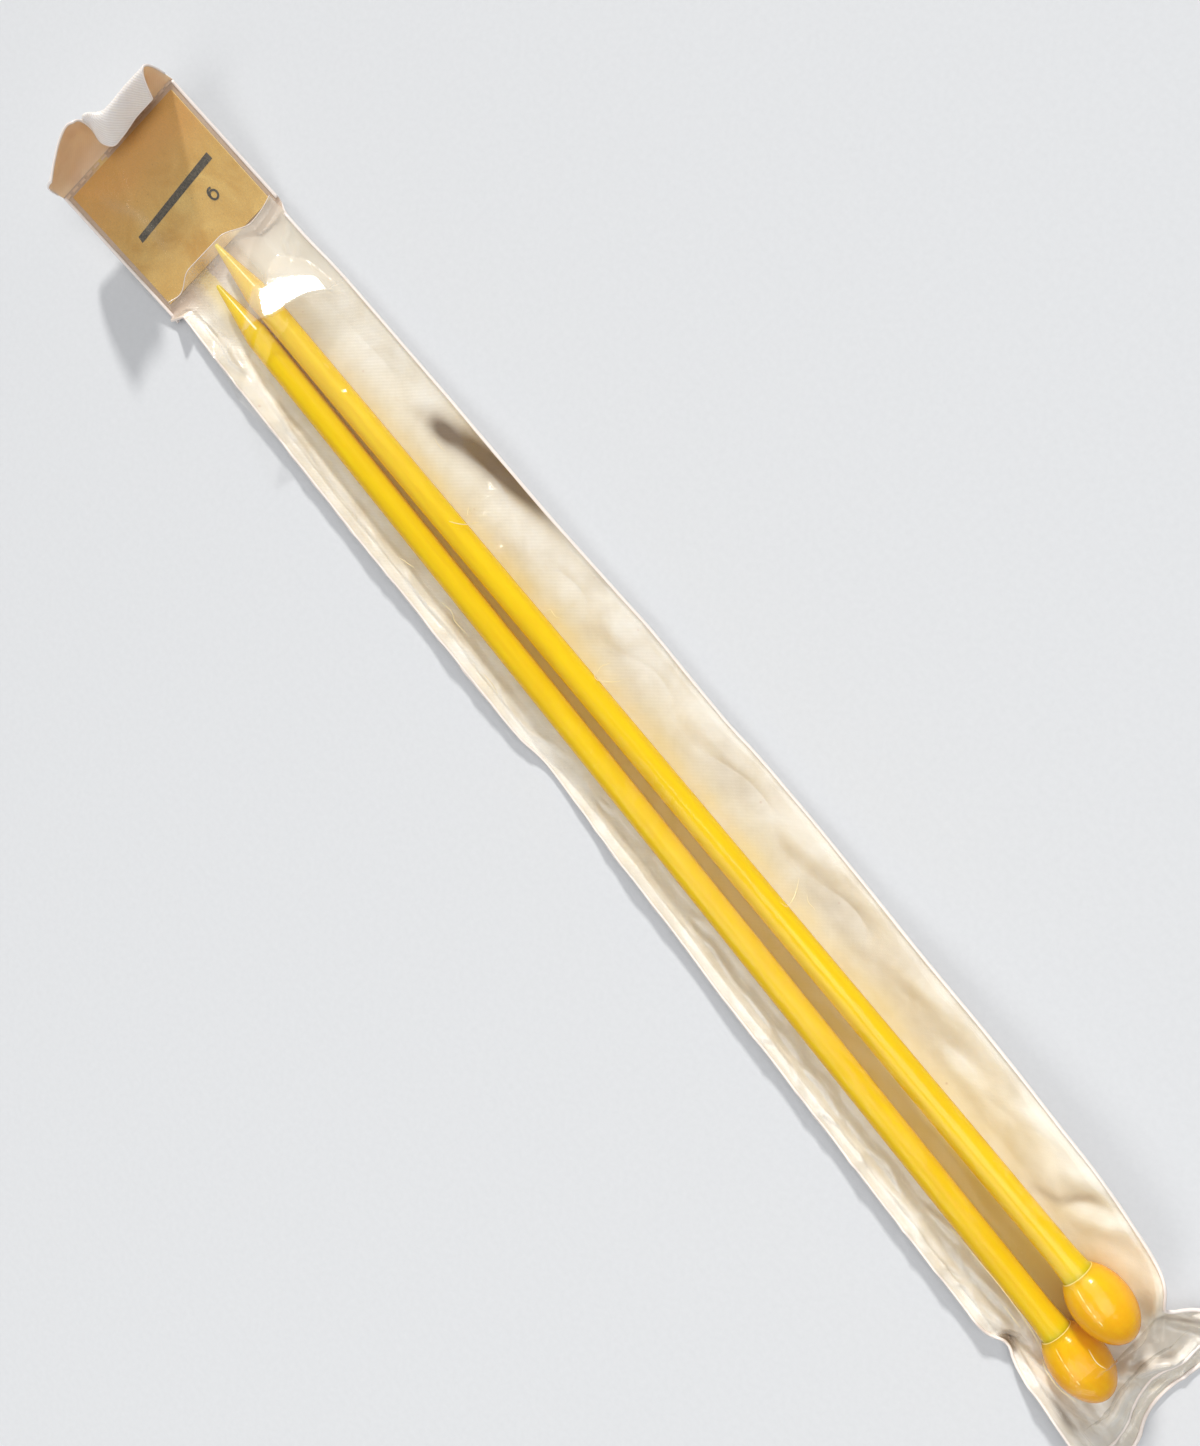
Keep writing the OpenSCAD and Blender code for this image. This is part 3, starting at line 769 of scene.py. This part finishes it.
def film_base(x, y):
    """Underside of the film at one station, at each y."""
    left, right = left_y(x) + WELD_W, right_y(x) - WELD_W
    pouch_x = max(x, 0)
    base = back_z(pouch_x, y) + BACK_T + GAP
    held = [(side, back_z(pouch_x, side) + BACK_T + GAP) for side in (left, right)]
    turn = np.radians(np.arange(10, 171, 8))
    for needle in (NEEDLE_A, NEEDLE_B):
        centre, z = axis_at(needle, x)
        r = held_r(needle[1], x) + FILM_GAP
        if r > FILM_GAP + 0.2:
            held.extend(zip(centre + r * np.cos(turn), z + r * np.sin(turn)))
    hull = []
    for point in sorted(held):
        while len(hull) > 1 and turns_up(hull[-2], hull[-1], point):
            hull.pop()
        hull.append(point)
    hull_y, hull_z = np.array(hull).T
    taut = np.where((y > hull_y[0]) & (y < hull_y[-1]), np.interp(y, hull_y, hull_z), base)
    (a, a_z), (b, b_z) = axis_at(NEEDLE_A, x), axis_at(NEEDLE_B, x)
    near = np.where(y < a, step(y, left, a - 1.6), 1 - step(y, b + 2, b + 8))
    hood = base + (max(a_z, b_z) + needle_r + FILM_GAP - base) * near
    pulled, closed = step(x, 8, 55), step(x, end_at - 3, end_at)
    z = (hood * (1 - pulled) + taut * pulled) * (1 - closed) + base * closed
    rise = (-x * tan(FLAP_TILT) + 0.9) if x < 0 else 0
    return np.maximum(base, z) + rise * (1 - near)


film_x = runs((-2, 50, 130), (50.5, 226, 250), (226.5, POUCH_L, 130))
across = np.concatenate([[0, 0.02], np.linspace(0.045, 0.955, 110), [0.98, 1]])
left, right = left_y(film_x)[:, None], right_y(film_x)[:, None]
X = np.repeat(film_x[:, None], len(across), 1)
Y = left + (right - left) * across[None]
base_z = np.stack([film_base(x, y) for x, y in zip(film_x, Y)])
a_y, b_y = middles(X)
free_right = unit((Y - b_y - 2.2) / 2.5) * unit((right - WELD_W - Y) / 2.5)
free_left = unit((a_y - 2.4 - Y) / 2) * unit((Y - left - WELD_W) / 2)
live = step(X, 0, 10) * (1 - step(X, 258, 265))

# The film's relief: broad waves, fine crumples, a sunken stretch beside the mouth, and creases
CREASES = [
    ([(3.7, 14.2), (5.4, 11.1), (8.6, 9.7)], 0.6, 0.5), ([(9.7, 10.8), (7.6, 13.2)], 0.5, 0.3),
    ([(40.1, -1.2), (39.6, 1.4), (40.7, 3), (42.5, 3.4)], 0.6, 0.25),
    ([(32.5, 2.4), (34.6, 3.2), (36.9, 3.7)], 0.5, 0.2),
    ([(73, 2.4), (74.4, 3.3), (75.5, 4.3), (76.4, 6.6), (76.6, 8.4)], 0.7, 0.35),
    ([(84.9, 4.6), (83, 6.7), (86.1, 7)], 0.6, 0.3),
    ([(92.6, 8.9), (92.2, 11.2), (95.1, 11.7), (100.2, 12.1)], 0.7, 0.3),
    ([(116.1, 4.5), (113.8, 9.3), (111.5, 13.1)], 0.7, 0.4), ([(111.3, 5.4), (111.9, 8.3)], 0.6, 0.3),
    ([(38.3, -8.8), (51.9, -9.6), (68, -9.9), (82.7, -9.7), (93.9, -9.4)], 0.6, 0.3),
    ([(-0.8, -8.1), (6.4, -9), (13.8, -8.4), (22.8, -7.6)], 0.8, 0.4),
    ([(33, -9), (53, -9.8), (74, -10.4), (96, -10), (117, -9.4)], 0.5, 0.25),
    ([(66, -8.8), (87, -9.7), (106, -11.5)], 0.5, 0.2),
    ([(125, -10.9), (153, -11.5), (183, -12.1), (210, -11.6), (231, -10.7)], 0.5, 0.3),
    ([(192, -10.8), (217, -11.9), (237, -12.4)], 0.5, 0.25),
    ([(96, 6.5), (102.4, 10.6), (106, 15.1)], 0.8, 0.2),
    ([(124.4, 5.7), (132.2, 10.4), (137, 15.1)], 0.8, 0.25),
    ([(150.4, 6.8), (156.6, 11.1), (164, 15)], 0.8, 0.25),
    ([(181.4, 8.8), (191.4, 12.1), (200.5, 15.1)], 0.8, 0.25),
    ([(207.6, 10.1), (217, 12.5), (224, 14.8)], 0.8, 0.25),
    ([(240.6, -14.4), (249.3, -11.1), (256.9, -4.7), (262.1, 0)], 0.9, 0.6),
    ([(249.4, -14.9), (257, -11.8), (264.8, -8.3)], 0.7, 0.5),
    ([(249, 11.2), (255.5, 7), (262, 5.3)], 1.1, 0.9),
    ([(251.6, 9.4), (258, 11.2), (264.5, 14.4)], 0.9, 0.7),
    ([(244.3, -15.1), (254.5, -14.1), (264.9, -14.2)], 0.6, 0.4)]
FILM_CRUMPLE = (64, 5.5)
broad = 0.55 * noise2(X, Y * 1.6, 11, 13, 3) + 0.35 * noise2(X + Y * 1.4, Y * 0.5, 12, 6.5, 2)
relief = free_right * live * (0.25 + 0.75 * step(X, 58, 76)) * broad
relief += free_left * live * (0.35 * noise2(X * 0.35, Y * 1.5, 13, 6, 3) + 0.15 * noise2(X, Y, 14, 4, 2))
relief -= 2.4 * free_right * step(X, 19, 27) * (1 - step(X, 58, 90))
ridges = 0.45 * free_left * live * ridged(X * 0.5, Y * 1.3, 63, 4)
relief += live * 0.1 * noise2(X, Y * 2, 15, 5, 3) + ridges
relief += 0.5 * ridged(X, Y, *FILM_CRUMPLE) * step(X, 247, 253) * live
for points, wide, high in CREASES:
    relief += crease(to_end(X, Y), Y, points, wide, high)
relief -= crease(X, Y, [(3.4, -9), (8.5, -9.4)], 1.5, 0.6)

# The lifted mouth ends in a tent over the second needle: one broad facet and the slopes round it
FACET_END = [
    (-17, 14), (-3, 16.6), (-1.2, 17.4), (0.3, 18.6), (2.5, 19.2), (4.7, 18.9), (7.3, 18.9), (9.9, 19.7),
    (12.9, 21.5), (18, 25)]
FACET_START = [
    (-17, 6), (0, 8.4), (2.9, 9.3), (6.8, 12.2), (9.5, 14.1), (12.3, 16.9), (14.1, 20.1), (18, 24)]


def facet(x, y):
    return 6.1 + 0.17 * (x - 15) - 0.47 * (y - 6)


facet_end, facet_start = curve(Y, FACET_END), curve(Y, FACET_START)
facet_side = 2.9 - 0.34 * (X - 9.3)
tent = np.minimum(facet(X, Y), facet(facet_end, Y) - 0.55 * (X - facet_end))
tent = np.minimum(tent, facet(facet_start, Y) - 0.4 * (facet_start - X))
tent = np.minimum(tent, facet(X, facet_side) - 0.3 * (facet_side - Y)) - 3 * step(Y, 12, 14.4)
on_tent = step(tent - base_z - relief, -0.4, 0.1)
tent += 0.07 * noise2(X, Y, 51, 3.2, 2) - 0.012 * (X - 15) ** 2 * (X < 15)

# The film stays clear of the back sheet and the needles
back_top = back_z(np.maximum(X, 0), Y) + BACK_T + 0.02 + np.maximum(wobble(X, Y), 0) * step(X, 3, 12)
lowest = np.maximum(back_top, np.maximum(needle_top(NEEDLE_A, X, Y), needle_top(NEEDLE_B, X, Y)) + 0.12)
Z = np.maximum(np.maximum(base_z + relief, tent), lowest)
pad = np.pad(Z, 1, mode="edge")
Z = np.maximum(0.5 * Z + 0.125 * (pad[2:, 1:-1] + pad[:-2, 1:-1] + pad[1:-1, 2:] + pad[1:-1, :-2]), lowest)

# Where the film is milky, grimy or dull; the milk also holds a painted highlight on the tent
milk_and_highlight = 0.1 * (1 - step(X, 4, 26)) + 0.008
milk_and_highlight += (0.14 + 0.4 * step(Y - b_y, 2.2, 5)) * (1 - step(X - facet_end, -5, 0.5)) * step(Y - a_y, 0.5, 4.5)
milk_and_highlight += 0.1 * bump_at(Y, b_y, 3) * (1 - step(X, 20, 90))
# Partly painted highlight: extra milk on the tent's facet widens the sun's highlight on the milky film there
milk_and_highlight += 0.26 * on_tent * (X < facet_end) * step(X - facet_start, -1, 4)
milk_and_highlight += crease(X, Y, [(5, -9.6), (13, -10.4), (22, -11.5)], 1.4, 0.25)
milk_and_highlight += 0.2 * step(X, 249, 256) * ridged(X, Y, *FILM_CRUMPLE)
milk_and_highlight += 0.12 * step(X - facet_start, -6, 0) * step(Y - b_y, 4, 8) * (1 - step(X, 20, 40))
milk_and_highlight += 0.1 * free_left * noise2(X, Y, 22, 8, 2) + 0.05 * free_right * noise2(X, Y, 23, 9, 3)
grime = 0.85 * spot(X, Y, -0.4, -3.9, 3.6, 2.8) + 0.2 * spot(X, Y, 4.9, -7.3, 4.4, 1.8)
dull = 0.9 * step(Y - b_y, 2.2, 4) * step(X - facet_end, 0.5, 3) * (1 - step(X, 66, 84))
film_at = np.stack([to_end(X, Y) + FOLD_X, Y, Z], -1)
film = open_sheet("pouch_film", film_at, M_FILM, np.stack([X, Y], -1),
                  {"milk_and_highlight": unit(milk_and_highlight), "grime": unit(grime), "dull": dull})
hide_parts("front_film")
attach(film, "sleeve")
rim = tube("pouch_mouth_rim", film_at[0], 0.09, M_EDGE, 6)
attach(rim, "sleeve")

# Painted glints: thin pale golden tubes along a few sharp folds of the film, where it catches the light
GLINT_FOLDS = [  # points, radius
    ([(222, -8.5), (229, -8.3), (235, -8.1), (240.8, -8.3), (244.6, -8.9)], 0.05),
    ([(247.2, -2.3), (249.5, -2.7), (251.4, -2.2)], 0.07),
    ([(245.7, -10.1), (248.2, -11), (251, -11), (253.3, -9.9)], 0.06),
    ([(73, 2.4), (74.4, 3.3), (75.5, 4.4), (76.3, 6.2)], 0.07), ([(236, -9.9), (240.5, -9.9)], 0.04),
    ([(69.8, -10.1), (71.8, -9.5), (73.6, -8.9)], 0.055),
    ([(82, -9.1), (84.6, -8.7), (86.6, -9.4), (90.2, -9.2)], 0.055),
    ([(97, -11.9), (99.3, -11.9), (101.7, -12.5)], 0.05),
    ([(163.6, 4.8), (164.8, 5.3), (164.5, 6.6), (163.2, 8.5), (162.4, 9.4)], 0.06),
    ([(165.3, 8.7), (166.7, 8.1), (168.3, 8.2)], 0.045), ([(72.4, 6.3), (73.9, 5.3)], 0.06),
    ([(97.5, 5), (97.9, 6.1), (99.4, 6), (100.3, 6.6)], 0.06),
    ([(111.3, 5.6), (113.1, 4.7), (114.9, 5.9), (116.2, 7.8)], 0.06),
    ([(112.7, 4.9), (111.9, 6.6), (112.3, 8.1)], 0.05), ([(56.6, 9.2), (58.7, 9), (60.3, 9.2)], 0.04)]
FOLD_POINTS = 40


def film_height(x, y):
    i = np.clip(np.searchsorted(film_x, x), 0, len(film_x) - 1)
    return np.array([np.interp(b, film_at[k, :, 1], film_at[k, :, 2]) for k, b in zip(i, y)])


for k, (points, thick) in enumerate(GLINT_FOLDS):
    points = np.array(points, float)
    along = np.concatenate([[0], np.cumsum(np.linalg.norm(np.diff(points, axis=0), axis=1))])
    at = np.linspace(0, along[-1], FOLD_POINTS)
    x, y = curve(at, np.column_stack([along, points])).T
    path = np.stack([to_end(x, y) + FOLD_X, y, film_height(x, y) + 0.03], -1)
    thinning = np.clip(np.sin(pi * at / along[-1]), 0.1, 1) ** 0.5
    fold = tube(f"painted_glint_fold_{k}", path, thick * thinning, M_PAINTED_GLINT, 6, 0.7)
    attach(fold, "sleeve")


# Welded edges of the pouch: a bead down each side, and two across the bottom
def weld(name, x, y, radius, flatness, lift):
    z = back_z(x, y) + BACK_T + wobble(x, y) * step(x, 3, 12) + lift
    bead = tube(name, np.stack([to_end(x, y) + FOLD_X, y, z], -1), radius, M_EDGE, 8, flatness)
    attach(bead, "sleeve")


x = runs((2, 230, 200), (230.8, POUCH_L - 0.3, 70))
for name, y in (("weld_left", left_y(x) + 0.22), ("weld_right", right_y(x) - 0.22)):
    weld(name, x, y, 0.26 * (1 + 0.2 * noise2(x, x * 0, 43, 6, 2)), 0.8, 0.08)
y = np.linspace(-16.6, 16.2, 140)
for name, from_end, r, wander in (("weld_bottom", 0.25, 0.3, 0), ("weld_bottom_inner", 3.1, 0.24, 0.35)):
    x = POUCH_L - from_end + wander * noise2(y, y * 0, 41, 5, 2)
    weld(name, x, y, r * (1 + 0.35 * noise2(y, y * 0, 42, 2.5, 3)), 0.6, 0.1)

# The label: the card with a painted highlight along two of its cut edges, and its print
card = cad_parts["label_card"]
paint(card, M_CARD)
INK_W, INK_T = 0.745, 0.03
CARD_CUT_W = 0.6
side_u, lower_y = np.linspace(3.2, 31, 70), np.linspace(-13.6, 14.3, 60)
for name, u, y, r in (("card_edge", side_u, 14.4, 0.13),
                      ("card_lower_edge", 0 * lower_y + 3.15, lower_y, 0.11)):
    gold = tube(name, flap_point(u, y, CARD_CUT_W) + FOLD, r, M_CARD_EDGE_HIGHLIGHT, 6)
    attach(gold, "label_flap")
y, u = np.array([(-10.2, 15.15), (11.45, 16.45), (11.4, 18.05), (-9.95, 16.55)]).T
corners = np.stack([flap_point(u, y, INK_W + INK_T), flap_point(u, y, INK_W)]) + FOLD
faces = [[0, 1, 2, 3], [7, 6, 5, 4]] + [[(i + 1) % 4, i, i + 4, (i + 1) % 4 + 4] for i in range(4)]
bar = new_object("label_bar", corners, faces, [M_INK], smooth=False)
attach(bar, "label_flap")

# The size number, drawn as two bands: a closed bowl and a stem
NUMBER_Y, NUMBER_U, NUMBER_STROKE, NUMBER_SCALE = 6.9, 12, 0.44, 0.865


def stroke(points, name, closed):
    """A flat band along points (across, up), laid on the card."""
    points = np.asarray(points, float)
    ahead = np.gradient(points, axis=0)
    if closed:
        ahead[0] = ahead[-1] = points[1] - points[-2]
    ahead = directed(ahead)
    half = np.stack([-ahead[:, 1], ahead[:, 0]], -1) * NUMBER_STROKE / 2
    band = np.stack([points + half, points - half], 1)
    y, u = NUMBER_Y + band[..., 0], NUMBER_U + band[..., 1]
    piece = sheet(name, flap_point(u, y, INK_W + INK_T) + FOLD, INK_T, [M_INK] * 3, np.stack([u, y], -1))
    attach(piece, "label_flap")


turn = np.radians(np.linspace(0, 360, 41))
bowl = NUMBER_SCALE * np.stack([0.92 * np.cos(turn), 1.08 * np.sin(turn) - 0.62], -1)
turn = np.radians(np.linspace(180, 62, 22))
stem = NUMBER_SCALE * np.stack([0.96 * np.cos(turn) + 0.04, 1.15 * np.sin(turn) - 0.02], -1)
stroke(bowl, "label_number_bowl", True)
stroke(np.vstack([[[-0.8, -0.48]], stem]), "label_number_stem", False)

# The label's window film, over the card and down to the back sheet round it
U, Y = np.meshgrid(np.linspace(2.3, 32.1, 80), np.linspace(-HALF_W + 0.1, HALF_W - 0.1, 96), indexing="ij")
over_card = (step(Y, -15.4, -14.4) * (1 - step(Y, 14.4, 15.4))
             * step(U, 2.3, 3.2) * (1 - step(U, 31.1, 32.1)))
W = 0.46 + 0.44 * over_card + over_card * (0.1 * noise2(U, Y, 31, 9, 3) + 0.05 * noise2(U, Y, 32, 3, 2))
W += crease(U, Y, [(29, -9.6), (26, -7), (19, -6.5), (7, -7.8)], 0.5, 0.16)
W += crease(U, Y, [(30.5, -2.6), (24, -5.2), (21.5, -8.7)], 0.4, 0.12)
W = np.maximum(W, np.where(over_card > 0.98, 0.83, 0.43))
# Painted reflection: a bright milky stripe along the window's left side, over its own slight milkiness
milk_and_highlight = 0.13 + crease(U, Y, [(28, -9.6), (26, -10), (19, -7), (10, -7.4)], 1.1, 0.5)
milk_and_highlight += 0.06 * noise2(U, Y, 33, 5, 3)
window = open_sheet("label_window_film", flap_point(U, Y, W) + FOLD, M_WINDOW, np.stack([U, Y], -1),
                    {"milk_and_highlight": unit(milk_and_highlight), "grime": np.full(U.size, 0.12)})
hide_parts("label_window")
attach(window, "label_flap")

# Side welds of the label pocket, and the dashes of the weld under the tongue
for name, y, first in (("label_weld_left", -HALF_W + 0.3, -0.4), ("label_weld_right", HALF_W - 0.3, 2.4)):
    u = np.linspace(first, FLAP_L - 0.2, 60)
    bead = tube(name, flap_point(u, y, BACK_T + 0.07) + FOLD, 0.34, M_EDGE, 8, 0.6)
    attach(bead, "label_flap")

DASHES, DASH_STEP, DASH_FIRST_Y, DASH_U = 15, 2.12, -15, 31.85
DASH_HALF_U, DASH_HALF_Y = 0.28, 0.7
du, dy = np.meshgrid(np.linspace(-DASH_HALF_U, DASH_HALF_U, 5),
                     np.linspace(-DASH_HALF_Y, DASH_HALF_Y, 9), indexing="ij")
for i in range(DASHES):
    y = DASH_FIRST_Y + DASH_STEP * i
    u = DASH_U + 0.5 * (y - DASH_FIRST_Y) / 30
    w = 0.5 + 0.07 * (1 - (du / DASH_HALF_U) ** 4) * (1 - (dy / DASH_HALF_Y) ** 6)
    dash = sheet(f"weld_dash_{i:02d}", flap_point(u + du, y + dy, w) + FOLD, 0.05, [M_DASH] * 3,
                 np.stack([du, dy], -1))
    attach(dash, "label_flap")

# The tongue stands on the left and rolls over on the right: at each place across it, from -1 to 1, two
# handles and the free edge of a curve that starts at the weld, each as up the flap, across, above it
KEYS = [
    (-1, 34.6, -16.5, 1.6, 33.6, -16.2, 6.6, 30.7, -12.9, 12),
    (-0.68, 34.9, -11.4, 0.9, 35.6, -11.2, 6.4, 32.9, -9.6, 12),
    (-0.45, 35, -7.4, 0.8, 36.6, -7.3, 6.6, 34.8, -6, 12),
    (-0.27, 35, -4.5, 0.8, 37, -4.4, 6.8, 35.4, -3.3, 12.2),
    (-0.16, 35, -2.8, 0.8, 37, -2.8, 7.2, 35, -1.9, 12),
    (-0.06, 34.9, -1.3, 0.8, 36.9, -1.6, 7.8, 35.2, -1.3, 10.8),
    (0.01, 34.8, -0.2, 0.8, 37.2, -0.8, 8.6, 35.1, -1.1, 9.4),
    (0.07, 34.7, 0.7, 0.8, 37.5, 0.5, 13.6, 34.6, -1, 8.2),
    (0.12, 34.6, 1.6, 0.8, 37.4, 1.5, 15.4, 33.8, -1.1, 7.1),
    (0.2, 34.4, 2.8, 0.8, 37.1, 2.7, 15.3, 31.9, -1.7, 6),
    (0.3, 34.2, 4.4, 0.8, 36.9, 4, 14.8, 29.9, -0.6, 5.5),
    (0.43, 34.1, 6.5, 0.8, 36.6, 6.2, 15.2, 29.8, 1.7, 5.3),
    (0.7, 34.1, 10.7, 0.8, 36.6, 10.8, 15.2, 30.4, 7, 5.3),
    (1, 34.05, 15.5, 0.8, 36.5, 15.8, 15.2, 30.3, 11.2, 5.4)]
TONGUE_T = 0.38
across, t = np.linspace(-1, 1, 150), np.linspace(0, 1, 46)[:, None, None]
keys = curve(across, KEYS)
weld_u, weld_w = np.full_like(across, FLAP_L + 0.15), np.full_like(across, BACK_T / 2)
curl = ((1 - t) ** 3 * np.stack([weld_u, across * HALF_W, weld_w], -1) + 3 * (1 - t) ** 2 * t * keys[:, 0:3]
        + 3 * (1 - t) * t ** 2 * keys[:, 3:6] + t ** 3 * keys[:, 6:9])
tongue_at = flap_point(curl[..., 0], curl[..., 1], curl[..., 2]) + FOLD
run = np.cumsum(np.linalg.norm(np.diff(curl, axis=0), axis=2), axis=0)
run = np.vstack([np.zeros((1, len(across))), run])
flat = np.stack([FLAP_L + run, np.broadcast_to(across[None] * HALF_W, run.shape)], -1)
# Its lower face takes the vinyl painted tan: painted shade and light through the sheet
tongue = sheet("tongue_sheet", tongue_at, TONGUE_T, [M_OUT, M_INNER_PAINTED_SHADE, M_EDGE], flat)
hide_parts("top_tongue")
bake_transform(tongue)
path = np.vstack([tongue_at[8:, 0], tongue_at[-1, 1:], tongue_at[-2:8:-1, -1]])
rim = tube("tongue_edge", path, 0.24, M_EDGE, 8, 1, (1, 0, 0.3))
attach(rim, "tongue")

# Stage: a pale floor, a low sun and two soft lamps, placed in metres
net = Nodes("floor")
floor_tone = net.mix(net.noise(net.place(), 900, 3, 0.6), (208, 210, 213), (216, 218, 221))
pale = net.surface(floor_tone, 0.75)
far = 3000
floor = new_object("floor", [(-far, -far, 0), (far, -far, 0), (far, far, 0), (-far, far, 0)],
                   [[0, 1, 2, 3]], [pale], smooth=False)


def lamp(name, kind, at, power, colour):
    """A lamp that points at the origin."""
    data = bpy.data.lights.new(name, kind)
    data.energy = power
    data.color = colour
    light = bpy.data.objects.new(name, data)
    light.location = at
    light.rotation_mode = "QUATERNION"
    light.rotation_quaternion = (-Vector(at)).to_track_quat("-Z", "Y")
    link(light)
    return data


lamp("key", "SUN", (-1.95, 1.2, 1.28), 2.7, (1, 0.985, 0.955)).angle = radians(4.8)
lamp("fill", "AREA", (0.2, -0.9, 1.3), 7, (1, 0.985, 0.96)).size = 1
lamp("over", "AREA", (0.2, 0.3, 1.1), 4.2, (1, 1, 1)).size = 0.7
world = bpy.data.worlds.new("world")
scene.world = world
world.use_nodes = True
sky = world.node_tree.nodes["Background"]
sky.inputs["Color"].default_value = (0.97, 0.98, 1, 1)
sky.inputs["Strength"].default_value = 0.3
scene.view_settings.view_transform = "Standard"
